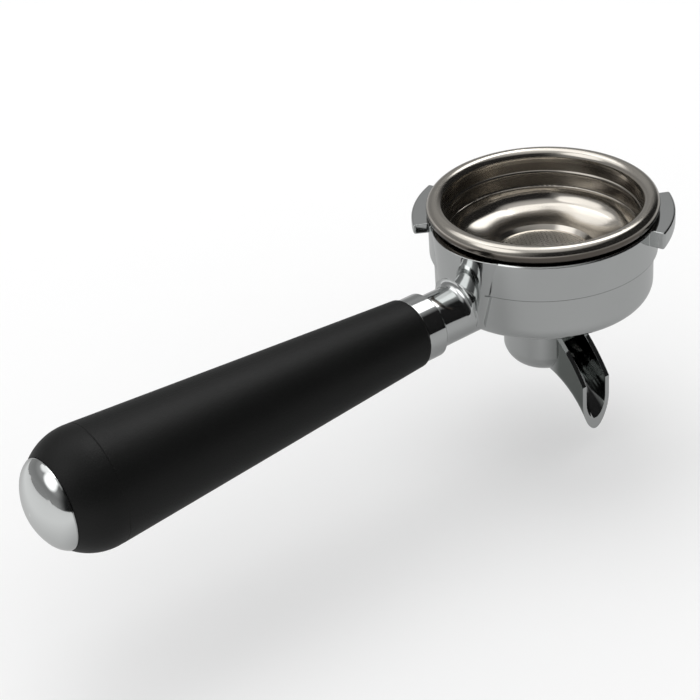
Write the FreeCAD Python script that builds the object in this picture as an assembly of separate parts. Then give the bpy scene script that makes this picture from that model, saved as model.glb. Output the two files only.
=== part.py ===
"""Portafilter for a 58 mm class espresso machine: holder, basket, single open spout and handle.

Frame: origin on the basket's axis, in the centre plane of its rolled rim.  +Z is up, out of
the basket's mouth, and the handle lies along -X.  Lengths are millimetres.
"""
import FreeCAD, Part
import math
import os

V = FreeCAD.Vector
X_AXIS, Y_AXIS, Z_AXIS = V(1, 0, 0), V(0, 1, 0), V(0, 0, 1)

# --- filter basket, a pressed steel cup with a rolled rim -------------------------------
BASKET_R = 29.7           # inside radius of the straight wall
SHEET = 0.7               # sheet thickness
ROLL_R = 2.65             # outside radius of the rolled rim's section
ROLL_END_DEG = -105.0     # where the curl stops, seen in section
BEAD_Z = -4.85            # middle of the bead that the spring clip holds
BEAD_HALF = 0.9           # half the bead's height
BEAD_DEPTH = 0.5          # how far the bead stands into the cup
LEDGE_Z = -9.7            # ledge between the wall and the dish
LEDGE_WIDTH = 1.25
LEDGE_CORNER = 0.6        # inside corner between wall and ledge
DISH_RUN = 12.05          # width of the dish, from the ledge in to its foot
DISH_DEPTH = 6.4          # depth of the dish under the ledge
FLOOR_INSET = 1.2         # from the dish's foot in to the flat perforated floor
FLOOR_DROP = 1.3          # step from the dish to the floor
HOLE_R = 0.2              # perforation
HOLE_PITCH = 1.35
HOLE_EDGE = 1.0           # plain margin round the perforations

# --- holder, one chromed brass casting --------------------------------------------------
BASKET_GAP = 0.6          # radial room between the basket and the holder
RIM_GAP = 0.3             # between the rolled rim and the holder's top face
BODY_WALL = 3.6           # wall of the upper band
BAND_INSET = 1.3          # how far the lower band stands back from the upper one
BAND_HEIGHT = 11.35       # height of the upper band
BASE_CORNER = 5.1         # rounding of the lower edge
BASE_WALL = 6.3           # bottom's thickness at that rounding
BASE_FALL = 2.8           # how far the bottom falls to the outlet boss
FLOOR_GAP = 5.6           # chamber height under the basket
FLOOR_FALL = 2.6          # fall of the chamber's floor to the drain
EDGE = 0.4                # small broken edges
CLIP_WIRE_R = 0.7         # spring clip's wire
CLIP_CLEAR = 0.1          # clip to basket wall
CLIP_GROOVE_CLEAR = 0.25
CLIP_GAP_DEG = 14.0       # opening in the clip's ring

# --- bayonet lugs, two, opposite each other ---------------------------------------------
LUG_REACH = 4.9           # how far they stand out from the upper band
LUG_RISE = 0.95           # how far they stand over the holder's top face
LUG_START_DEG = -69.5     # thick end of the first lug
LUG_SPAN_DEG = 39.8
LUG_THICK = 5.3           # at the thick end
LUG_THIN = 2.9            # at the thin end
LUG_CORNER = 0.7
LUG_ROOT = 2.6            # how deep the lug runs into the band's wall

# --- neck -------------------------------------------------------------------------------
NECK_R = 8.3
NECK_UNDER = 1.1          # how far the neck's underside hangs below the cup's bottom edge
NECK_LENGTH = 10.4        # from the pad to the neck's end face
NECK_ROOT = 5.0           # where the neck's rod starts under the cup, out from the boss
PAD_STAND = 1.4           # rounded pad's front, out from the upper band
PAD_TOP_SPREAD = 6.2      # pad's half width at the wall past the neck's radius, at the top
PAD_LOW_SPREAD = 0.9      # the same at its lower end
PAD_LOW_DROP = 3.2        # lower end of the pad under the neck's axis
PAD_ROOT = 2.0            # how far the pad runs into the cavity, which cuts it again
PAD_FILLET = 2.0

# --- outlet, spout and seal -------------------------------------------------------------
DRAIN_R = 4.5
BOSS_R = 11.6
BOSS_LENGTH = 2.2         # from the cup's bottom to the face that the seal lies against
THREAD_R = 8.25           # 3/8 pipe thread, drawn plain
THREAD_CLEAR = 0.08
THREAD_LENGTH = 9.6       # nipple under the boss
THREAD_RUNOUT = 0.8       # spout's thread past the nipple's end
SEAL_THICK = 1.5
SEAL_OVER = 0.2           # seal's edge past the boss
SEAL_GAP = 0.02
HUB_OVER = 1.05           # hub's side past the boss
HUB_UNDER = 3.44          # straight hub under the nipple's end
HUB_DOME = 7.2            # height of its domed bottom
HUB_SKIN = 2.8            # front of the hub that the chute's channel opens above the nipple's end
WELL_DEPTH = 5.0          # round well between the nipple and the channel
WELL_OVER = 1.5           # well's side past the channel's
CHUTE_WIDTH = 11.2
CHUTE_WALL = 1.6
CHUTE_BEND_R = 24.5       # bend of the chute's underside, about a line across the spout
CHUTE_MOUTH_DEG = 68.53   # turn of that bend at the mouth
CHUTE_SWEEP_PAST = 11.5   # further turn, in degrees, that the mouth's plane cuts off
CHANNEL_START_DEG = -8.0
CHANNEL_SWEEP_PAST = 5.0  # channel's turn past the chute's
CHUTE_BOTTOM_WALL = 0.1   # hub dome to the chute's underside
CHUTE_EDGE_START = (14.8, 1.2)   # side walls' edge: back from the mouth, down from the hub's top
CHUTE_EDGE_MID = (6.9, 8.2)
CHUTE_EDGE_END = (0.0, 17.1)
CHUTE_BACK = 4.0          # how far the chute runs back past the hub's axis
CHUTE_TOP_DROP = 0.5      # its highest point under the hub's top

# --- handle -----------------------------------------------------------------------------
STUD_R = 5.9              # M12 stud, drawn plain
STUD_CLEAR = 0.05
STUD_IN_NECK = 10.8
STUD_SHORT = 2.0          # bush left free past the stud's end
COLLAR_STEP = 1.6         # collar's side past the neck
COLLAR_LENGTH = 7.0
COLLAR_CHAMFER = 0.9
FACE_GAP = 0.05           # between pieces clamped face to face
INSERT_LENGTH = 26.0
INSERT_GROOVE = 0.5
FIT_CLEAR = 0.05          # bushes and spigot to grip
GRIP_STEP = 0.7           # grip's front edge past the collar
GRIP_FRONT_WALL = 2.15    # grip round the front bush
GRIP_FRONT_ROUND = 1.2
GRIP_LENGTH = 120.4
GRIP_SHOULDER_LENGTH = 12.8   # from the widest ring to the cap
GRIP_R = 17.4
GRIP_TAIL_R = 13.3        # where the grip meets the cap
GRIP_TAIL_WALL = 3.05     # grip round the cap's spigot
SHOULDER_ALONG = 0.62     # middle of the rounded shoulder: share of its length,
SHOULDER_UP = 0.735       # and share of its rise from the tail
SEAM_DEPTH = 0.12
SEAM_HALF = 0.25
CORE_R = 5.0
CAP_RING_GAP = 0.15
CAP_DOME = 6.6            # height of the crown over the grip's end
CAP_EDGE = 2.8            # width of the rounded edge round the crown's middle
CAP_CROWN_DEG = 33.0      # half angle of that middle
CAP_LIP = 0.4             # straight edge of the cap beside the grip
CAP_SPIGOT_LENGTH = 12.0
CAP_STUD_R = 3.95         # M8 stud
CAP_STUD_LENGTH = 26.0
CAP_STUD_IN_CAP = 11.0
CAP_INSERT_WALL = 2.2     # rear bush round the cap's stud
CAP_INSERT_LENGTH = 20.0

CUT = 1.0                 # how far a cutting tool runs past the face it opens

# --- derived places ---------------------------------------------------------------------
BASKET_OUT_R = BASKET_R + SHEET
ROLL_C = BASKET_R + ROLL_R
LEDGE_R = BASKET_R - LEDGE_WIDTH
DISH_R = LEDGE_R - DISH_RUN
FLOOR_R = DISH_R - FLOOR_INSET
DISH_Z = LEDGE_Z - DISH_DEPTH
FLOOR_Z = DISH_Z - FLOOR_DROP
HOLDER_TOP_Z = -ROLL_R - RIM_GAP
CAVITY_R = BASKET_OUT_R + BASKET_GAP
BODY_R = CAVITY_R + BODY_WALL
BAND_R = BODY_R - BAND_INSET
STEP_Z = HOLDER_TOP_Z - BAND_HEIGHT
CHAMBER_Z = FLOOR_Z - SHEET - FLOOR_GAP
BASE_Z = CHAMBER_Z - BASE_WALL
CLIP_R = BASKET_OUT_R + CLIP_CLEAR + CLIP_WIRE_R
LUG_R = BODY_R + LUG_REACH
LUG_TOP_Z = HOLDER_TOP_Z + LUG_RISE
NECK_Z = BASE_Z - NECK_UNDER + NECK_R
PAD_X = BODY_R + PAD_STAND
NECK_END = PAD_X + NECK_LENGTH
BOSS_Z = BASE_Z - BASE_FALL - BOSS_LENGTH
NIPPLE_Z = BOSS_Z - THREAD_LENGTH
SEAL_R = BOSS_R + SEAL_OVER
HUB_R = BOSS_R + HUB_OVER
HUB_TOP_Z = BOSS_Z - SEAL_THICK - 2 * SEAL_GAP
HUB_LOW_Z = NIPPLE_Z - HUB_UNDER
HUB_BOTTOM_Z = HUB_LOW_Z - HUB_DOME
CHUTE_C_Z = HUB_BOTTOM_Z + CHUTE_BOTTOM_WALL - CHUTE_BEND_R
CHUTE_REACH = CHUTE_BEND_R * math.sin(math.radians(CHUTE_MOUTH_DEG))
COLLAR_R = NECK_R + COLLAR_STEP
COLLAR_S = NECK_END + FACE_GAP
GRIP_FRONT_R = COLLAR_R + GRIP_STEP
GRIP_S = COLLAR_S + COLLAR_LENGTH + FACE_GAP
GRIP_END_S = GRIP_S + GRIP_LENGTH
INSERT_R = GRIP_FRONT_R - GRIP_FRONT_WALL - FIT_CLEAR
STUD_END_S = GRIP_S + INSERT_LENGTH - STUD_SHORT
CAP_S = GRIP_END_S + CAP_RING_GAP
CAP_R = GRIP_TAIL_R - CAP_RING_GAP
CAP_SPIGOT_R = GRIP_TAIL_R - GRIP_TAIL_WALL - FIT_CLEAR
CAP_INSERT_R = CAP_STUD_R + STUD_CLEAR + CAP_INSERT_WALL
SPIGOT_HOLE_S = GRIP_END_S - CAP_SPIGOT_LENGTH - FACE_GAP
CAP_INSERT_S = SPIGOT_HOLE_S - FACE_GAP - CAP_INSERT_LENGTH


# --- drawing helpers --------------------------------------------------------------------
def outline(steps, place):
    """Closed wire.  A step is a point (line to it) or a pair (through, to) for an arc."""
    start = place(*steps[0])
    edges, here = [], start
    for step in steps[1:] + [steps[0]]:
        through, to = step if isinstance(step[0], tuple) else (None, step)
        there = place(*to)
        if (there - here).Length < 1e-7:
            continue
        if through is None:
            edges.append(Part.makeLine(here, there))
        else:
            edges.append(Part.Arc(here, place(*through), there).toShape())
        here = there
    return Part.Wire(edges)


def section_xz(r, z):
    """A point of a turned profile about the Z axis."""
    return V(r, 0, z)


def section_handle(s, r):
    """A point of a turned profile about the handle's axis, s from the basket's axis."""
    return V(-s, 0, NECK_Z + r)


def turned(steps):
    """Solid turned about the Z axis from a profile of (r, z) points."""
    return Part.Face(outline(steps, section_xz)).revolve(V(0, 0, 0), Z_AXIS, 360)


def turned_handle(steps):
    """Solid turned about the handle's axis from a profile of (s, r) points."""
    return Part.Face(outline(steps, section_handle)).revolve(V(0, 0, NECK_Z), X_AXIS, 360)


def post(r, z_low, z_high, x=0.0, y=0.0):
    """Upright cylinder."""
    return Part.makeCylinder(r, z_high - z_low, V(x, y, z_low), Z_AXIS)


def bar(r, s_from, s_to):
    """Cylinder on the handle's axis."""
    return Part.makeCylinder(r, s_to - s_from, V(-s_from, 0, NECK_Z), V(-1, 0, 0))


def prism(steps, place, direction):
    """Straight solid from a closed outline."""
    return Part.Face(outline(steps, place)).extrude(direction)


def on_circle(cx, cy, r, degrees):
    """Point at an angle on a circle, in plain numbers."""
    angle = math.radians(degrees)
    return (cx + r * math.cos(angle), cy + r * math.sin(angle))


def on_ellipse(cx, cy, a, b, degrees):
    """Point at a parameter angle on an ellipse, in plain numbers."""
    angle = math.radians(degrees)
    return (cx + a * math.cos(angle), cy + b * math.sin(angle))


def tangent_mid(start, end, degrees):
    """Middle of the arc from start to end whose normal at end stands at the given angle."""
    nx, ny = on_circle(0, 0, 1, degrees)
    dx, dy = start[0] - end[0], start[1] - end[1]
    r = -(dx * dx + dy * dy) / (2 * (dx * nx + dy * ny))
    cx, cy = end[0] - r * nx, end[1] - r * ny
    mx, my = (start[0] + end[0]) / 2 - cx, (start[1] + end[1]) / 2 - cy
    stretch = r / math.hypot(mx, my)
    return (cx + mx * stretch, cy + my * stretch)


# --- basket -----------------------------------------------------------------------------
def inner_dish():
    """Two arcs along a quarter ellipse, from the ledge down to the floor's step."""
    a, b = LEDGE_R - DISH_R, DISH_DEPTH
    at = [on_ellipse(DISH_R, LEDGE_Z, a, b, -d) for d in (0, 22.5, 45, 67.5, 90)]
    return [at[0], (at[1], at[2]), (at[3], at[4])]


def basket_profile():
    """Section of the sheet, from the curl's end over the rim, down and in to the axis."""
    curl = [on_circle(ROLL_C, 0, ROLL_R, d) for d in (ROLL_END_DEG, 0, 90, 135, 180)]
    back = [on_circle(ROLL_C, 0, ROLL_R - SHEET, d) for d in (180, 90, ROLL_END_DEG)]
    corner = on_circle(BASKET_R - LEDGE_CORNER, LEDGE_Z + LEDGE_CORNER, LEDGE_CORNER, -45)
    out_corner_r = LEDGE_CORNER + SHEET
    out_corner = on_circle(BASKET_R - LEDGE_CORNER, LEDGE_Z + LEDGE_CORNER, out_corner_r, -45)
    low_z = LEDGE_Z - SHEET
    inside = [
        curl[0], (curl[1], curl[2]), (curl[3], curl[4]),
        (BASKET_R, BEAD_Z + BEAD_HALF),
        ((BASKET_R - BEAD_DEPTH, BEAD_Z), (BASKET_R, BEAD_Z - BEAD_HALF)),
        (BASKET_R, LEDGE_Z + LEDGE_CORNER),
        (corner, (BASKET_R - LEDGE_CORNER, LEDGE_Z)),
    ] + inner_dish() + [(FLOOR_R, FLOOR_Z), (0, FLOOR_Z)]
    outside = [(0, FLOOR_Z - SHEET), (FLOOR_R + SHEET / 2, FLOOR_Z - SHEET)]
    outside += outer_dish(low_z)
    outside += [
        (out_corner, (BASKET_OUT_R, LEDGE_Z + LEDGE_CORNER)),
        (BASKET_OUT_R, BEAD_Z - BEAD_HALF),
        ((BASKET_OUT_R - BEAD_DEPTH, BEAD_Z), (BASKET_OUT_R, BEAD_Z + BEAD_HALF)),
        back[0], (back[1], back[2]),
    ]
    return inside + outside


def outer_dish(low_z):
    """Outside of the dish: the inner curve grown by the sheet, met at the ledge's underside."""
    a, b = LEDGE_R - DISH_R + SHEET, DISH_DEPTH + SHEET
    first = math.degrees(math.asin(SHEET / b))
    turn = [first + (90 - first) * k / 4.0 for k in range(5)]
    at = [on_ellipse(DISH_R, LEDGE_Z, a, b, -d) for d in turn]
    return [at[4], (at[3], at[2]), (at[1], (BASKET_R - LEDGE_CORNER, low_z))]


def perforations():
    """Hexagonal field of small posts that pierce the floor, as one compound."""
    reach = FLOOR_R - HOLE_EDGE
    rows = int(reach / (HOLE_PITCH * math.sqrt(0.75))) + 1
    posts = []
    for row in range(-rows, rows + 1):
        y = row * HOLE_PITCH * math.sqrt(0.75)
        for column in range(-2 * rows, 2 * rows + 1):
            x = (column + 0.5 * (row % 2)) * HOLE_PITCH
            if math.hypot(x, y) <= reach:
                posts.append(post(HOLE_R, FLOOR_Z - 2 * SHEET, FLOOR_Z + SHEET, x, y))
    return Part.makeCompound(posts)


def filter_basket():
    """Pressed cup with its pierced floor."""
    return turned(basket_profile()).cut(perforations())


def basket_spring():
    """Open ring of spring wire that snaps into the holder's groove."""
    gap = math.radians(CLIP_GAP_DEG / 2)
    start = V(CLIP_R * math.cos(gap), CLIP_R * math.sin(gap), BEAD_Z)
    circle = Part.Wire(Part.makeCircle(CLIP_WIRE_R, start, V(-math.sin(gap), math.cos(gap), 0)))
    ring = Part.Face(circle).revolve(V(0, 0, 0), Z_AXIS, 360 - CLIP_GAP_DEG)
    return ring


# --- holder -----------------------------------------------------------------------------
def holder_shell():
    """Outer form of the cup, the boss and the threaded nipple, still solid."""
    corner_z = BASE_Z + BASE_CORNER
    corner = on_circle(BAND_R - BASE_CORNER, corner_z, BASE_CORNER, -45)
    return turned([
        (0, HOLDER_TOP_Z), (BODY_R - EDGE, HOLDER_TOP_Z), (BODY_R, HOLDER_TOP_Z - EDGE),
        (BODY_R, STEP_Z), (BAND_R, STEP_Z), (BAND_R, corner_z),
        (corner, (BAND_R - BASE_CORNER, BASE_Z)),
        (BOSS_R, BASE_Z - BASE_FALL), (BOSS_R, BOSS_Z), (THREAD_R, BOSS_Z),
        (THREAD_R, NIPPLE_Z + EDGE), (THREAD_R - EDGE, NIPPLE_Z), (0, NIPPLE_Z)])


def holder_cavity():
    """Room for the basket, the chamber under it, the clip's groove and the drain."""
    top = HOLDER_TOP_Z
    cavity = turned([
        (0, top + CUT), (CAVITY_R + EDGE, top + CUT), (CAVITY_R + EDGE, top), (CAVITY_R, top - EDGE),
        (CAVITY_R, CHAMBER_Z), (DRAIN_R, CHAMBER_Z - FLOOR_FALL), (0, CHAMBER_Z - FLOOR_FALL)])
    groove_half = CLIP_WIRE_R + CLIP_GROOVE_CLEAR
    groove_r = CLIP_R + CLIP_WIRE_R + CLIP_GROOVE_CLEAR
    groove = post(groove_r, BEAD_Z - groove_half, BEAD_Z + groove_half)
    drain = post(DRAIN_R, NIPPLE_Z - CUT, CHAMBER_Z)
    return cavity.fuse(groove).fuse(drain)


def lug(start_deg):
    """Bayonet lug: a ring sector with a flat top and a ramp below, thick end first."""
    low_z = LUG_TOP_Z - LUG_THICK
    ring = Part.makeCylinder(LUG_R, LUG_THICK, V(0, 0, low_z), Z_AXIS, LUG_SPAN_DEG)
    ring = ring.cut(post(BODY_R - LUG_ROOT, low_z - CUT, LUG_TOP_Z + CUT))
    chord = LUG_R * math.sin(math.radians(LUG_SPAN_DEG / 2))
    thin_z, under_z = LUG_TOP_Z - LUG_THIN, low_z - CUT
    ramp = prism([(-chord, low_z), (chord, thin_z), (chord, under_z), (-chord, under_z)],
                 lambda t, z: V(0, t, z), V(LUG_R + CUT, 0, 0))
    ramp.rotate(V(0, 0, 0), Z_AXIS, LUG_SPAN_DEG / 2)
    piece = ring.cut(ramp)
    middle_r = BODY_R + LUG_REACH / 2
    outer = [e for e in piece.Edges if math.hypot(e.CenterOfMass.x, e.CenterOfMass.y) > middle_r]
    piece = piece.makeFillet(LUG_CORNER, outer).cut(post(BODY_R, HOLDER_TOP_Z, LUG_TOP_Z + CUT))
    piece.rotate(V(0, 0, 0), Z_AXIS, start_deg)
    return piece


def neck_pad():
    """Pad on the cup's side with a rounded front, wider towards the top."""
    def rib(z, half):
        wall_x = math.sqrt(BODY_R ** 2 - half ** 2)
        inner_x = PAD_ROOT - CAVITY_R
        return outline([(inner_x, half), (inner_x, -half), (-wall_x, -half), ((-PAD_X, 0), (-wall_x, half))],
                       lambda x, y: V(x, y, z))

    low, high = NECK_R + PAD_LOW_SPREAD, NECK_R + PAD_TOP_SPREAD
    return Part.makeLoft([rib(NECK_Z - PAD_LOW_DROP, low), rib(HOLDER_TOP_Z, high)], True, True)


def neck():
    """Round neck, run under the cup's bottom, with a hollow fillet where it leaves the pad."""
    rod = bar(NECK_R, BOSS_R + NECK_ROOT, NECK_END)
    rod = rod.makeFillet(EDGE, [e for e in rod.Edges if abs(e.CenterOfMass.x + NECK_END) < EDGE / 2])
    f = PAD_FILLET
    through = on_circle(PAD_X + f, NECK_R + f, f, -135)
    flare = turned_handle([(PAD_X - CUT, 0), (PAD_X - CUT, NECK_R + f), (PAD_X, NECK_R + f),
                           (through, (PAD_X + f, NECK_R)), (PAD_X + f, 0)])
    keep = Part.makeBox(PAD_X + f, 2 * NECK_R, NECK_R + f + CUT, V(-PAD_X - f, -NECK_R, NECK_Z))
    return rod.fuse(flare.common(keep))


def filter_holder():
    """The whole casting with its cavity, drain and stud hole."""
    solid = holder_shell().fuse(neck_pad()).fuse(neck())
    for turn in (0, 180):
        solid = solid.fuse(lug(LUG_START_DEG + turn))
    solid = solid.cut(holder_cavity())
    stud_hole = bar(STUD_R + STUD_CLEAR, NECK_END - STUD_IN_NECK - FACE_GAP, NECK_END + CUT)
    return solid.cut(stud_hole).removeSplitter()


# --- spout ------------------------------------------------------------------------------
def chute_bend(half_width, inner_r, outer_r, from_deg, to_deg):
    """Trough section bent about the chute's line: a half round with straight sides above it."""
    mid = inner_r + half_width
    def place(x, rho):
        return V(x, 0, CHUTE_C_Z + rho)
    face = Part.Face(outline(
        [(half_width, outer_r), (-half_width, outer_r), (-half_width, mid),
         ((0, inner_r), (half_width, mid))], place))
    face.rotate(V(0, 0, CHUTE_C_Z), X_AXIS, from_deg)
    return face.revolve(V(0, 0, CHUTE_C_Z), X_AXIS, to_deg - from_deg)


def chute_side(grow):
    """Side view of the chute as a thick plate: what lies under its edge, behind its mouth."""
    edge = (CHUTE_EDGE_START, CHUTE_EDGE_MID, CHUTE_EDGE_END)
    start, mid, end = [(back - CHUTE_REACH, HUB_TOP_Z - drop) for back, drop in edge]
    top = HUB_TOP_Z - CHUTE_TOP_DROP
    return prism(
        [(CHUTE_BACK, top), (0.0, top), start, (mid, end), (end[0], CHUTE_C_Z), (CHUTE_BACK, CHUTE_C_Z)],
        lambda y, z: V(-grow, y, z), V(2 * grow, 0, 0))


def hub():
    """Domed hub, still solid."""
    dome = [on_ellipse(0, HUB_LOW_Z, HUB_R, HUB_DOME, d) for d in (-30, -60, -75)]
    return turned([(0, HUB_TOP_Z), (HUB_R - EDGE, HUB_TOP_Z), (HUB_R, HUB_TOP_Z - EDGE),
                   (HUB_R, HUB_LOW_Z), (dome[0], dome[1]), (dome[2], (0, HUB_BOTTOM_Z))])


def spout():
    """Domed hub, threaded inside, with an open chute bent down towards -Y."""
    half, tall = CHUTE_WIDTH / 2, HUB_TOP_Z - CHUTE_C_Z
    channel_half = half - CHUTE_WALL
    sweep = CHUTE_MOUTH_DEG + CHUTE_SWEEP_PAST
    chute = chute_bend(half, CHUTE_BEND_R, tall, 0, sweep).common(chute_side(half + CUT))
    channel = chute_bend(channel_half, CHUTE_BEND_R + CHUTE_WALL, tall + CUT, CHANNEL_START_DEG,
                         sweep + CHANNEL_SWEEP_PAST)
    roof = Part.makeBox(2 * HUB_R, 2 * HUB_R, 2 * THREAD_LENGTH, V(-HUB_R, HUB_SKIN - HUB_R, NIPPLE_Z))
    thread = post(THREAD_R + THREAD_CLEAR, NIPPLE_Z - THREAD_RUNOUT, HUB_TOP_Z + CUT)
    well = post(channel_half + WELL_OVER, NIPPLE_Z - WELL_DEPTH, NIPPLE_Z)
    body = hub().fuse(chute).cut(channel.cut(roof))
    return body.cut(thread).cut(well).removeSplitter()


def spout_seal():
    """Flat ring squeezed between the boss and the spout."""
    z_low, z_high = HUB_TOP_Z + SEAL_GAP, BOSS_Z - SEAL_GAP
    return post(SEAL_R, z_low, z_high).cut(post(THREAD_R + 2 * THREAD_CLEAR, z_low - CUT, z_high + CUT))


# --- handle -----------------------------------------------------------------------------
def neck_collar():
    """Chromed ring clamped between the neck and the grip."""
    end = COLLAR_S + COLLAR_LENGTH
    hole = STUD_R + STUD_CLEAR
    return turned_handle([
        (COLLAR_S, hole), (COLLAR_S, COLLAR_R - COLLAR_CHAMFER), (COLLAR_S + COLLAR_CHAMFER, COLLAR_R),
        (end, COLLAR_R), (end, hole)])


def handle_stud():
    """Threaded stud that joins the neck to the insert in the grip."""
    return bar(STUD_R, NECK_END - STUD_IN_NECK, STUD_END_S)


def insert_profile(s_from, length, r, bore):
    """Threaded bush with three grooves that key it in the moulding."""
    steps = [(s_from, bore), (s_from, r)]
    for k in range(1, 4):
        s = s_from + k * length / 4
        steps += [(s - INSERT_GROOVE, r), (s - INSERT_GROOVE, r - INSERT_GROOVE),
                  (s + INSERT_GROOVE, r - INSERT_GROOVE), (s + INSERT_GROOVE, r)]
    return steps + [(s_from + length, r), (s_from + length, bore)]


def grip_insert():
    """Brass bush in the front of the grip."""
    return turned_handle(insert_profile(GRIP_S, INSERT_LENGTH, INSERT_R, STUD_R + STUD_CLEAR))


def cap_insert():
    """Brass bush in the rear of the grip, for the cap's stud."""
    bore = CAP_STUD_R + STUD_CLEAR
    return turned_handle(insert_profile(CAP_INSERT_S, CAP_INSERT_LENGTH, CAP_INSERT_R, bore))


def grip_outline():
    """Outer profile of the grip from its front face to the cap, with the fine seam ring."""
    front_c = (GRIP_S + GRIP_FRONT_ROUND, GRIP_FRONT_R - GRIP_FRONT_ROUND)
    seam = GRIP_END_S - GRIP_SHOULDER_LENGTH
    tail = (GRIP_END_S, GRIP_TAIL_R)
    shoulder = (seam + SHOULDER_ALONG * GRIP_SHOULDER_LENGTH,
                GRIP_TAIL_R + SHOULDER_UP * (GRIP_R - GRIP_TAIL_R))
    return [
        (GRIP_S, front_c[1]), (on_circle(*front_c, GRIP_FRONT_ROUND, 135), (front_c[0], GRIP_FRONT_R)),
        (seam - SEAM_HALF, GRIP_R), (seam, GRIP_R - SEAM_DEPTH), (seam + SEAM_HALF, GRIP_R),
        (shoulder, tail)]


def grip():
    """Tapered moulded grip, bored for its two bushes and the cap's spigot."""
    spigot_s, bush_s = SPIGOT_HOLE_S, CAP_INSERT_S
    front_s = GRIP_S + INSERT_LENGTH + FACE_GAP
    steps = [(GRIP_S, INSERT_R + FIT_CLEAR)] + grip_outline()
    steps += [
        (GRIP_END_S, CAP_SPIGOT_R + FIT_CLEAR), (spigot_s, CAP_SPIGOT_R + FIT_CLEAR),
        (spigot_s, CAP_INSERT_R + FIT_CLEAR), (bush_s, CAP_INSERT_R + FIT_CLEAR),
        (bush_s, CORE_R), (front_s, CORE_R), (front_s, INSERT_R + FIT_CLEAR)]
    return turned_handle(steps)


def end_cap():
    """Domed cap with a spigot, drilled for its stud."""
    rim = (CAP_S + CAP_LIP, CAP_R)
    apex = CAP_S + CAP_DOME
    hole = CAP_STUD_R + STUD_CLEAR
    hole_s = CAP_S - CAP_SPIGOT_LENGTH + CAP_STUD_IN_CAP + FACE_GAP
    spigot_s = CAP_S - CAP_SPIGOT_LENGTH
    crown_r = (CAP_R - CAP_EDGE) / math.sin(math.radians(CAP_CROWN_DEG))
    crown_s = apex - crown_r
    join = on_circle(crown_s, 0, crown_r, CAP_CROWN_DEG)
    edge_mid = tangent_mid(rim, join, CAP_CROWN_DEG)
    return turned_handle([
        (spigot_s, hole), (spigot_s, CAP_SPIGOT_R), (CAP_S, CAP_SPIGOT_R), (CAP_S, CAP_R), rim,
        (edge_mid, join), (on_circle(crown_s, 0, crown_r, CAP_CROWN_DEG / 2), (apex, 0)),
        (hole_s, 0), (hole_s, hole)])


def cap_stud():
    """Short stud that draws the cap into the grip."""
    end = CAP_S - CAP_SPIGOT_LENGTH + CAP_STUD_IN_CAP
    return bar(CAP_STUD_R, end - CAP_STUD_LENGTH, end)


NODES = {
    "filter_holder": filter_holder,
    "filter_basket": filter_basket,
    "basket_spring": basket_spring,
    "spout": spout,
    "spout_seal": spout_seal,
    "neck_collar": neck_collar,
    "handle_stud": handle_stud,
    "grip": grip,
    "grip_insert": grip_insert,
    "end_cap": end_cap,
    "cap_stud": cap_stud,
    "cap_insert": cap_insert,
}

os.makedirs("parts", exist_ok=True)
for node, make in NODES.items():
    shape = make()
    box = shape.BoundBox
    print("%-14s solids %d valid %s volume %9.1f  x %.1f..%.1f y %.1f..%.1f z %.1f..%.1f" % (
        node, len(shape.Solids), shape.isValid(), shape.Volume,
        box.XMin, box.XMax, box.YMin, box.YMax, box.ZMin, box.ZMax))
    shape.exportStep("parts/" + node + ".step")
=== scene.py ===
import math

import bpy
from mathutils import Matrix, Vector


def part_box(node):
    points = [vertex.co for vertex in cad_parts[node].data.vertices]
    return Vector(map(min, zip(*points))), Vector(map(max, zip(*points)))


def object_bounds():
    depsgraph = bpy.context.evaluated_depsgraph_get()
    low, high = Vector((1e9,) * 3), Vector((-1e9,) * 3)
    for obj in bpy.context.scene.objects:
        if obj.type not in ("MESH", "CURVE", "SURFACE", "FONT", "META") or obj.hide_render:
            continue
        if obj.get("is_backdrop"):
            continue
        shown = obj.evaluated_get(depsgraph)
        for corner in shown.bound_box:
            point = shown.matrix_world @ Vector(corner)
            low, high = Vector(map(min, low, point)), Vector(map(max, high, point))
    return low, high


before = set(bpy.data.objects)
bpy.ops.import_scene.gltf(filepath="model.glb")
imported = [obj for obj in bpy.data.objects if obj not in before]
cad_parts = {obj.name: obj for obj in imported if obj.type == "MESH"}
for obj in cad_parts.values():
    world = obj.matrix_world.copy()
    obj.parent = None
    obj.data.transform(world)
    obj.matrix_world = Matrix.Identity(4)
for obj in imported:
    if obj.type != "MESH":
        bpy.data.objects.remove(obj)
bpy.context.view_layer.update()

bl_info = {
    "name": "Portafilter",
    "version": (1, 0, 0),
    "blender": (4, 5, 0),
    "location": "3D View > Sidebar > Portafilter",
    "description": "Finishes and studio for a portafilter built on its CAD frame",
    "category": "Add Mesh",
}

MM = 0.001
FLOOR_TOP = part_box("filter_basket")[0].z + 0.9 * MM     # just over the pierced floor
FLOOR_EDGE = 14.4 * MM
RIM_INNER = 31.4 * MM
FLOOR_ROOM = 9.5 * MM                                   # lets the spout come down off its thread
STEP_TOP = -14.15 * MM                                  # top of the painted shade line under the upper band's step
STEP_LOW = STEP_TOP - 0.5 * MM
STEP_ROOT, STEP_REACH = 32.5 * MM, 34.8 * MM
CHUTE_START, CHUTE_SHADE_FULL = -8.0 * MM, -13.0 * MM         # where the chute leaves the hub, and where the painted shade on the chute reaches full strength
DISH_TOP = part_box("filter_basket")[0].z + 8.5 * MM     # where the wall turns into the dish


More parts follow.
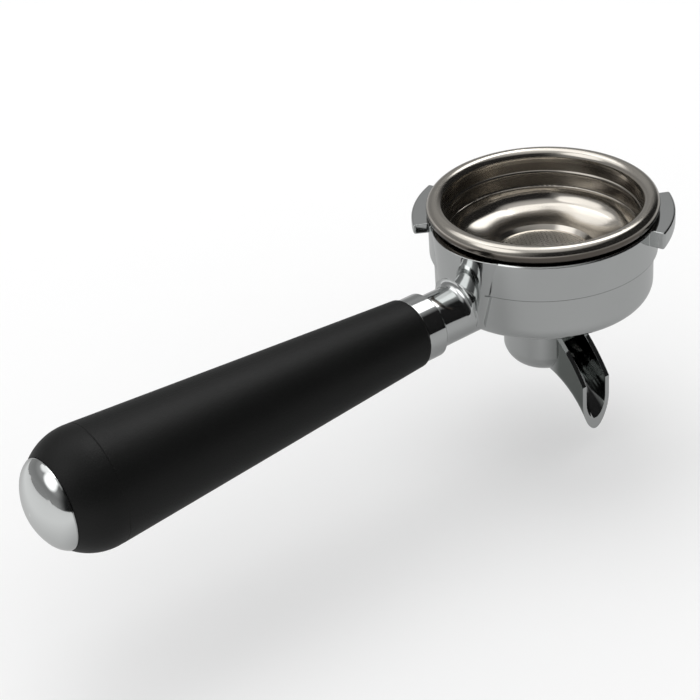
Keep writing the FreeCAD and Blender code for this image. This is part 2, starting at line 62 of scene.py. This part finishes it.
# --- finishes: node graphs written as sums ----------------------------------------------
class Sock:
    """A node's output that can stand in a sum."""

    def __init__(self, graph, out):
        self.graph, self.out = graph, out

    def _math(self, operation, first, second):
        return self.graph.node("ShaderNodeMath", {"operation": operation}, {0: first, 1: second})

    def __add__(self, other):
        return self._math("ADD", self, other)

    def __radd__(self, other):
        return self._math("ADD", other, self)

    def __sub__(self, other):
        return self._math("SUBTRACT", self, other)

    def __rsub__(self, other):
        return self._math("SUBTRACT", other, self)

    def __mul__(self, other):
        return self._math("MULTIPLY", self, other)

    def __rmul__(self, other):
        return self._math("MULTIPLY", other, self)

    def __pow__(self, other):
        return self._math("POWER", self, other)

    def __lt__(self, other):
        return self._math("LESS_THAN", self, other)

    def __gt__(self, other):
        return self._math("GREATER_THAN", self, other)


class Graph:
    """A material's or world's node tree, emptied and filled again."""

    def __init__(self, owner):
        owner.use_nodes = True
        self.tree = owner.node_tree
        self.tree.nodes.clear()

    def node(self, kind, settings=None, inputs=None, out=0):
        made = self.tree.nodes.new(kind)
        for name, value in (settings or {}).items():
            if name == "stops":
                self.set_stops(made.color_ramp, value)
            else:
                setattr(made, name, value)
        for name, value in (inputs or {}).items():
            if isinstance(value, Sock):
                self.tree.links.new(value.out, made.inputs[name])
            else:
                made.inputs[name].default_value = value
        return Sock(self, made.outputs[out]) if made.outputs else None

    def set_stops(self, ramp, stops):
        while len(ramp.elements) < len(stops):
            ramp.elements.new(0.5)
        for element, (place, colour) in zip(ramp.elements, stops):
            element.position = place
            element.color = colour

    def place(self):
        return self.node("ShaderNodeTexCoord", out="Object")

    def stretched(self, scale, centre=(0, 0, 0), turn=(0, 0, 0)):
        return self.node("ShaderNodeMapping", {"vector_type": "POINT"},
                         {"Vector": self.place(), "Location": centre, "Rotation": turn, "Scale": scale})

    def noise(self, vector, scale, detail=3.0, rough=0.55):
        return self.node("ShaderNodeTexNoise", {"noise_dimensions": "3D"},
                         {"Vector": vector, "Scale": scale, "Detail": detail, "Roughness": rough})

    def ramp(self, value, stops):
        return self.node("ShaderNodeValToRGB", {"stops": stops}, {"Fac": value})

    def bump(self, height, depth, normal=None):
        inputs = {"Height": height, "Distance": depth, "Strength": 1.0}
        if normal:
            inputs["Normal"] = normal
        return self.node("ShaderNodeBump", None, inputs)

    def surface(self, inputs):
        shader = self.node("ShaderNodeBsdfPrincipled", None, inputs)
        self.node("ShaderNodeOutputMaterial", None, {"Surface": shader})


def grey(level):
    return (level, level, level, 1.0)


def new_material(name):
    material = bpy.data.materials.new(name)
    return material, Graph(material)


def chrome(name, colour, dark, wave, edge, chute=False, step=False):
    """Bright plate over a hand-polished casting: faint waves, haze and hair scratches.

    Along the spout's chute, the faces turned out and down toward the shadowed floor are painted dark grey: a painted
    reflection of the floor's shade.
    """
    material, g = new_material(name)
    haze = g.noise(g.place(), 55.0, 4.0)
    hair = g.noise(g.stretched((9000, 900, 900)), 1.0, 2.0)
    tone = g.node("ShaderNodeMix", {"data_type": "RGBA"},
                  {0: haze, 6: (*colour, 1.0), 7: (*dark, 1.0)}, out=2)
    # A thin ring just under the holder's upper band step is mixed toward near-black: painted shade under the step's
    # overhang.
    if step:
        axes = g.node("ShaderNodeSeparateXYZ", None, {0: g.place()})
        x, y, z = (Sock(g, axes.out.node.outputs[n]) for n in range(3))
        radius = (x * x + y * y) ** 0.5
        step_shade = (z < STEP_TOP) * (z > STEP_LOW) * (radius < STEP_REACH) * (radius > STEP_ROOT)
        tone = g.node("ShaderNodeMix", {"data_type": "RGBA"},
                      {0: step_shade * 0.7, 6: tone, 7: (0.06, 0.065, 0.065, 1.0)}, out=2)
    # Past the hub, chute faces turned toward -X, -Y and down are mixed toward dark grey: painted reflection of the
    # shaded floor beneath.
    if chute:
        axes = g.node("ShaderNodeSeparateXYZ", None, {0: g.place()})
        along = Sock(g, axes.out.node.outputs[1])
        chute_shade_reach = g.node("ShaderNodeMapRange", {"interpolation_type": "SMOOTHSTEP"},
                        {"Value": along, "From Min": CHUTE_START, "From Max": CHUTE_SHADE_FULL})
        facing = g.node("ShaderNodeNewGeometry", out="Normal")
        sideways = g.node("ShaderNodeVectorMath", {"operation": "DOT_PRODUCT"}, {0: facing, 1: Vector((-0.8, -0.35, -0.45)).normalized()}, out=1)
        toward_shaded_floor = g.node("ShaderNodeMapRange", {"interpolation_type": "SMOOTHSTEP"},
                         {"Value": sideways, "From Min": 0.35, "From Max": 0.75})
        tone = g.node("ShaderNodeMix", {"data_type": "RGBA"},
                      {0: chute_shade_reach * toward_shaded_floor, 6: tone, 7: (0.20, 0.215, 0.205, 1.0)}, out=2)
    ripple = g.noise(g.place(), 70.0, 1.0)
    edges = g.node("ShaderNodeBevel", {"samples": 6}, {"Radius": edge})
    g.surface({
        "Base Color": tone,
        "Metallic": 1.0,
        "Roughness": 0.035 + haze * 0.05 + hair * 0.02,
        "Normal": g.bump(hair, 0.0000004, g.bump(ripple, wave, edges)),
    })
    return material


def pressed_steel(name, colour, dark):
    """Spun and polished stainless sheet, with fine rings round the axis."""
    material, g = new_material(name)
    place = g.place()
    axes = g.node("ShaderNodeSeparateXYZ", None, {0: place})
    x, y, z = axes, Sock(g, axes.out.node.outputs[1]), Sock(g, axes.out.node.outputs[2])
    radius = (x * x + y * y) ** 0.5
    rings = g.node("ShaderNodeTexNoise", {"noise_dimensions": "1D"},
                   {"W": radius * 1.0 + z * 1.7, "Scale": 2600.0, "Detail": 3.0})
    bands = g.node("ShaderNodeTexNoise", {"noise_dimensions": "1D"},
                   {"W": radius * 1.0 + z * 1.3, "Scale": 420.0, "Detail": 2.0})
    cloud = g.noise(place, 45.0, 4.0)
    tone = g.node("ShaderNodeMix", {"data_type": "RGBA"},
                  {0: bands * 0.6 + cloud * 0.4, 6: (*colour, 1.0), 7: (*dark, 1.0)}, out=2)
    dots = g.node("ShaderNodeTexVoronoi", {"feature": "F1", "voronoi_dimensions": "2D"},
                  {"Vector": place, "Scale": 1100.0, "Randomness": 0.35})
    in_floor = (z < FLOOR_TOP) * (radius < FLOOR_EDGE)
    # Near-black dots scattered at random over the pierced floor.
    floor_dots = (dots < 0.30) * in_floor
    pierced = g.node("ShaderNodeMix", {"data_type": "RGBA"}, {0: floor_dots, 6: tone, 7: (0.05, 0.045, 0.04, 1.0)}, out=2)
    # The wall and the rolled rim's lower outer half are mixed toward brown-black: painted shade in the basket's
    # hollow and painted dark reflection under its rim.
    in_wall = (z > DISH_TOP) * (z < -1.2 * MM)
    under_rim = g.node("ShaderNodeMapRange", {"interpolation_type": "SMOOTHSTEP"},
                       {"Value": z, "From Min": 1.3 * MM, "From Max": 0.1 * MM}) * (radius > RIM_INNER)
    wall_and_rim_shade = g.node("ShaderNodeMix", {"data_type": "RGBA"},
                     {0: in_wall * 0.42 + under_rim * 0.9, 6: pierced, 7: (0.10, 0.085, 0.072, 1.0)}, out=2)
    in_dish = z < DISH_TOP
    dents = g.noise(place, 75.0, 0.0) * in_dish
    g.surface({
        "Base Color": wall_and_rim_shade,
        "Metallic": 1.0,
        "Roughness": 0.12 + rings * 0.05 + cloud * 0.05 + in_floor * 0.14,
        "Normal": g.bump(rings, 0.0000006, g.bump(bands, 0.000003, g.bump(dents, 0.0013))),
    })
    return material


def moulded_black(name, colour):
    """Matt black moulding with a fine pebbled grain, rubbed a little smoother in patches."""
    material, g = new_material(name)
    place = g.place()
    pebbles = g.node("ShaderNodeTexVoronoi", {"feature": "SMOOTH_F1"},
                     {"Vector": place, "Scale": 2300.0, "Smoothness": 0.5})
    grit = g.noise(place, 3600.0, 2.0)
    cloud = g.noise(place, 60.0, 5.0)
    worn = g.noise(g.stretched((30, 160, 160)), 1.0, 4.0)
    tone = g.node("ShaderNodeMix", {"data_type": "RGBA"},
                  {0: cloud * 0.6 + grit * 0.4, 6: (*[c * 0.6 for c in colour], 1.0),
                   7: (*[c * 1.6 for c in colour], 1.0)}, out=2)
    g.surface({
        "Base Color": tone,
        "Roughness": 0.42 + cloud * 0.08 + worn * 0.06,
        "Specular IOR Level": 0.22,
        "Normal": g.bump(grit, 0.00002, g.bump(pebbles, 0.00004)),
    })
    return material


def turned_metal(name, colour, rough, ring_scale):
    """Machined rod or bush, with tool marks along the handle's line."""
    material, g = new_material(name)
    marks = g.noise(g.stretched((ring_scale, 20, 20)), 1.0, 3.0)
    cloud = g.noise(g.place(), 90.0, 3.0)
    tone = g.node("ShaderNodeMix", {"data_type": "RGBA"},
                  {0: cloud, 6: (*colour, 1.0), 7: (*[c * 0.7 for c in colour], 1.0)}, out=2)
    g.surface({
        "Base Color": tone,
        "Metallic": 1.0,
        "Roughness": rough + marks * 0.12,
        "Normal": g.bump(marks, 0.00001),
    })
    return material


def fibre(name, colour):
    """Dull pressed fibre of the spout's seal."""
    material, g = new_material(name)
    strands = g.noise(g.stretched((1400, 1400, 5000)), 1.0, 5.0)
    tone = g.node("ShaderNodeMix", {"data_type": "RGBA"},
                  {0: strands, 6: (*colour, 1.0), 7: (*[c * 1.9 for c in colour], 1.0)}, out=2)
    g.surface({"Base Color": tone, "Roughness": 0.7 + strands * 0.2, "Normal": g.bump(strands, 0.00003)})
    return material


# --- settings that a user would change --------------------------------------------------
class FinishSettings(bpy.types.PropertyGroup):
    """Colours of the finishes."""
    chrome: bpy.props.FloatVectorProperty(
        name="Chrome", description="Colour of the plated castings", subtype="COLOR",
        default=(0.64, 0.655, 0.65), min=0, max=1)
    steel: bpy.props.FloatVectorProperty(
        name="Basket steel", description="Colour of the pressed basket", subtype="COLOR",
        default=(0.60, 0.565, 0.51), min=0, max=1)
    grip: bpy.props.FloatVectorProperty(
        name="Grip", description="Colour of the moulded grip", subtype="COLOR",
        default=(0.0035, 0.0038, 0.0036), min=0, max=1)
    brass: bpy.props.FloatVectorProperty(
        name="Brass", description="Colour of the grip's bushes", subtype="COLOR",
        default=(0.72, 0.52, 0.24), min=0, max=1)


class StudioSettings(bpy.types.PropertyGroup):
    """Floor, lamps and camera."""
    floor: bpy.props.FloatVectorProperty(
        name="Floor", description="Colour of the floor", subtype="COLOR",
        default=(0.93, 0.93, 0.93), min=0, max=1)
    ambient: bpy.props.FloatProperty(
        name="Ambient", description="Strength of the room's even light", default=0.95, min=0)
    key_power: bpy.props.FloatProperty(
        name="Key power", description="Power of the overhead lamp", default=1.7, min=0, unit="POWER")
    lens: bpy.props.FloatProperty(
        name="Lens", description="Focal length in millimetres", default=92.57, min=1)


# --- operators --------------------------------------------------------------------------
def dress(node, material):
    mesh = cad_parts[node].data
    mesh.materials.clear()
    mesh.materials.append(material)


class PORTAFILTER_OT_castings(bpy.types.Operator):
    """Plate the holder, the spout, the collar and the cap"""
    bl_idname = "portafilter.castings"
    bl_label = "Chromed castings"

    def execute(self, context):
        colour = tuple(context.scene.portafilter_finish.chrome)
        dark = tuple(c * 0.93 for c in colour)
        dress("filter_holder", chrome("holder_plate", colour, dark, 0.00001, 0.0004, step=True))
        dress("spout", chrome("spout_plate", colour, dark, 0.00001, 0.0003, chute=True))
        dress("neck_collar", chrome("collar_plate", colour, dark, 0.000002, 0.0002))
        dress("end_cap", chrome("cap_plate", colour, dark, 0.000002, 0.0002))
        return {"FINISHED"}


class PORTAFILTER_OT_basket(bpy.types.Operator):
    """Finish the basket and its spring clip"""
    bl_idname = "portafilter.basket"
    bl_label = "Basket and clip"

    def execute(self, context):
        colour = tuple(context.scene.portafilter_finish.steel)
        dress("filter_basket", pressed_steel("basket_sheet", colour, tuple(c * 0.85 for c in colour)))
        dress("basket_spring", turned_metal("clip_wire", (0.58, 0.58, 0.57), 0.18, 400))
        return {"FINISHED"}


class PORTAFILTER_OT_grip(bpy.types.Operator):
    """Finish the grip and what it holds inside"""
    bl_idname = "portafilter.grip"
    bl_label = "Grip"

    def execute(self, context):
        finish = context.scene.portafilter_finish
        dress("grip", moulded_black("grip_moulding", tuple(finish.grip)))
        brass = turned_metal("bush_brass", tuple(finish.brass), 0.25, 3000)
        dress("grip_insert", brass)
        dress("cap_insert", brass)
        steel = turned_metal("stud_steel", (0.50, 0.50, 0.50), 0.28, 3500)
        dress("handle_stud", steel)
        dress("cap_stud", steel)
        dress("spout_seal", fibre("seal_fibre", (0.05, 0.035, 0.025)))
        return {"FINISHED"}


STUDIO_PANELS = (   # toward, half angle, soft edge, level
    ((0.54, 0.17, 0.82), 12.0, 6.0, 2.4),
    ((-0.30, 0.55, 0.78), 10.0, 10.0, 1.0),
    ((-0.70, 0.10, 0.70), 14.0, 10.0, 1.4),
)
CAMERA_AT = Vector((-328.79, -355.08, 251.21)) * MM
CAMERA_AZIMUTH, CAMERA_ELEVATION, CAMERA_ROLL = -35.53, 31.785, -4.80


def camera_turn():
    """Camera's axes from its azimuth, elevation and roll, in degrees about the object."""
    a, e, r = (math.radians(v) for v in (CAMERA_AZIMUTH, CAMERA_ELEVATION, CAMERA_ROLL))
    back = Vector((math.sin(a) * math.cos(e), -math.cos(a) * math.cos(e), math.sin(e)))
    right = Vector((math.cos(a), math.sin(a), 0))
    up = back.cross(right)
    side = right * math.cos(r) + up * math.sin(r)
    top = up * math.cos(r) - right * math.sin(r)
    return Matrix((side, top, back)).transposed()


def lamp(name, size, power, at, aim):
    light = bpy.data.lights.new(name, "AREA")
    light.shape = "RECTANGLE"
    light.size, light.size_y = size
    light.energy = power
    made = bpy.data.objects.new(name, light)
    bpy.context.scene.collection.objects.link(made)
    made.matrix_world = (Matrix.Translation(at)
                         @ (Vector(at) - Vector(aim)).to_track_quat("Z", "Y").to_matrix().to_4x4())
    return made


def panel_of_light(g, way, toward, half_deg, soft_deg, level):
    """Soft round patch of light in the room's sky, seen in the polished metal."""
    aim = Vector(toward).normalized()
    facing = g.node("ShaderNodeVectorMath", {"operation": "DOT_PRODUCT"}, {0: way, 1: aim}, out=1)
    edge, core = (math.cos(math.radians(v)) for v in (half_deg + soft_deg, half_deg))
    return level * g.node("ShaderNodeMapRange", {"interpolation_type": "SMOOTHSTEP"},
                          {"Value": facing, "From Min": edge, "From Max": core})


def white_room(world, ambient):
    """Even room light and plain white to look at, with a grey studio for the metal to reflect."""
    g = Graph(world)
    rays = g.node("ShaderNodeLightPath")
    camera, glossy, through = (Sock(g, rays.out.node.outputs[n]) for n in
                               ("Is Camera Ray", "Is Glossy Ray", "Is Transmission Ray"))
    way = g.node("ShaderNodeTexCoord", out="Generated")
    axes = g.node("ShaderNodeSeparateXYZ", None, {0: way})
    height = Sock(g, axes.out.node.outputs[2]) * 0.5 + 0.5
    front = g.node("ShaderNodeVectorMath", {"operation": "DOT_PRODUCT"},
                   {0: way, 1: Vector((0.45, -0.89, 0.0))}, out=1)
    front = g.node("ShaderNodeMapRange", {"interpolation_type": "SMOOTHSTEP"},
                   {"Value": front, "From Min": -0.25, "From Max": 0.35})
    dark_side = g.ramp(height, [(0.48, grey(0.30)), (0.505, grey(0.008)), (0.88, grey(0.015)), (0.93, grey(0.45)),
                                (1.0, grey(0.75))])
    light_side = g.ramp(height, [(0.48, grey(0.34)), (0.56, grey(0.30)), (0.66, grey(0.26)), (0.76, grey(0.38)),
                                 (0.86, grey(0.30)), (1.0, grey(0.75))])
    studio = dark_side * front + light_side * (1.0 - front)
    for toward, half_deg, soft_deg, level in STUDIO_PANELS:
        studio = studio + panel_of_light(g, way, toward, half_deg, soft_deg, level)
    plain = 1.0 - camera - glossy - through
    back = g.node("ShaderNodeBackground", None,
                  {"Color": grey(1.0), "Strength": camera + through + plain * ambient + glossy * studio})
    g.node("ShaderNodeOutputWorld", None, {"Surface": back})


class PORTAFILTER_OT_studio(bpy.types.Operator):
    """Floor, room light, lamps and camera"""
    bl_idname = "portafilter.studio"
    bl_label = "Studio"

    def execute(self, context):
        scene, studio = context.scene, context.scene.portafilter_studio
        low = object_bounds()[0][2]
        bpy.ops.object.select_all(action="DESELECT")
        bpy.ops.mesh.primitive_plane_add(size=8.0, location=(0, 0, low - FLOOR_ROOM))
        floor = context.object
        floor.name = "floor"
        material, g = new_material("floor_paper")
        fibres = g.noise(g.place(), 30.0, 5.0)
        tone = g.node("ShaderNodeMix", {"data_type": "RGBA"},
                      {0: fibres, 6: (*studio.floor, 1.0), 7: (*[c * 0.99 for c in studio.floor], 1.0)}, out=2)
        # Seen in reflections, the floor is painted grey: 0.46 near the object, brightening to 0.85 toward -X. This
        # is painted light and shade on the floor, for glossy rays only.
        axes = g.node("ShaderNodeSeparateXYZ", None, {0: g.place()})
        reflected_floor_light = g.node("ShaderNodeMapRange", {"interpolation_type": "SMOOTHSTEP"},
                          {"Value": axes, "From Min": -0.12, "From Max": -0.30, "To Min": 0.46, "To Max": 0.85})
        seen = g.node("ShaderNodeLightPath", out="Is Glossy Ray")
        shown = g.node("ShaderNodeMix", {"data_type": "RGBA"}, {0: seen, 6: tone, 7: reflected_floor_light}, out=2)
        g.surface({"Base Color": shown, "Roughness": 0.9, "Specular IOR Level": 0.0})
        floor.data.materials.append(material)
        floor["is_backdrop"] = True
        world = bpy.data.worlds.new("room")
        scene.world = world
        white_room(world, studio.ambient)
        lamp("overhead", (0.7, 0.7), studio.key_power, (0.1, 0.35, 0.9), (-0.05, 0, 0))
        camera = bpy.data.cameras.new("camera")
        camera.lens, camera.sensor_width = studio.lens, 36.0
        eye = bpy.data.objects.new("camera", camera)
        scene.collection.objects.link(eye)
        eye.matrix_world = Matrix.Translation(CAMERA_AT) @ camera_turn().to_4x4()
        scene.camera = eye
        scene.view_settings.view_transform = "Standard"
        return {"FINISHED"}


class PORTAFILTER_PT_panel(bpy.types.Panel):
    """Lists the portafilter's operators and settings"""
    bl_label = "Portafilter"
    bl_space_type = "VIEW_3D"
    bl_region_type = "UI"
    bl_category = "Portafilter"

    def draw(self, context):
        for operator in OPERATORS:
            self.layout.operator(operator.bl_idname)
        for group in (context.scene.portafilter_finish, context.scene.portafilter_studio):
            for name in group.bl_rna.properties.keys():
                if name not in ("rna_type", "name"):
                    self.layout.prop(group, name)


OPERATORS = (PORTAFILTER_OT_castings, PORTAFILTER_OT_basket, PORTAFILTER_OT_grip, PORTAFILTER_OT_studio)
CLASSES = (FinishSettings, StudioSettings, PORTAFILTER_PT_panel) + OPERATORS


def register():
    for cls in CLASSES:
        bpy.utils.register_class(cls)
    bpy.types.Scene.portafilter_finish = bpy.props.PointerProperty(type=FinishSettings)
    bpy.types.Scene.portafilter_studio = bpy.props.PointerProperty(type=StudioSettings)


def unregister():
    del bpy.types.Scene.portafilter_finish
    del bpy.types.Scene.portafilter_studio
    for cls in reversed(CLASSES):
        bpy.utils.unregister_class(cls)


def main():
    register()
    bpy.ops.portafilter.castings()
    bpy.ops.portafilter.basket()
    bpy.ops.portafilter.grip()
    bpy.ops.portafilter.studio()


if __name__ == "__main__":
    main()
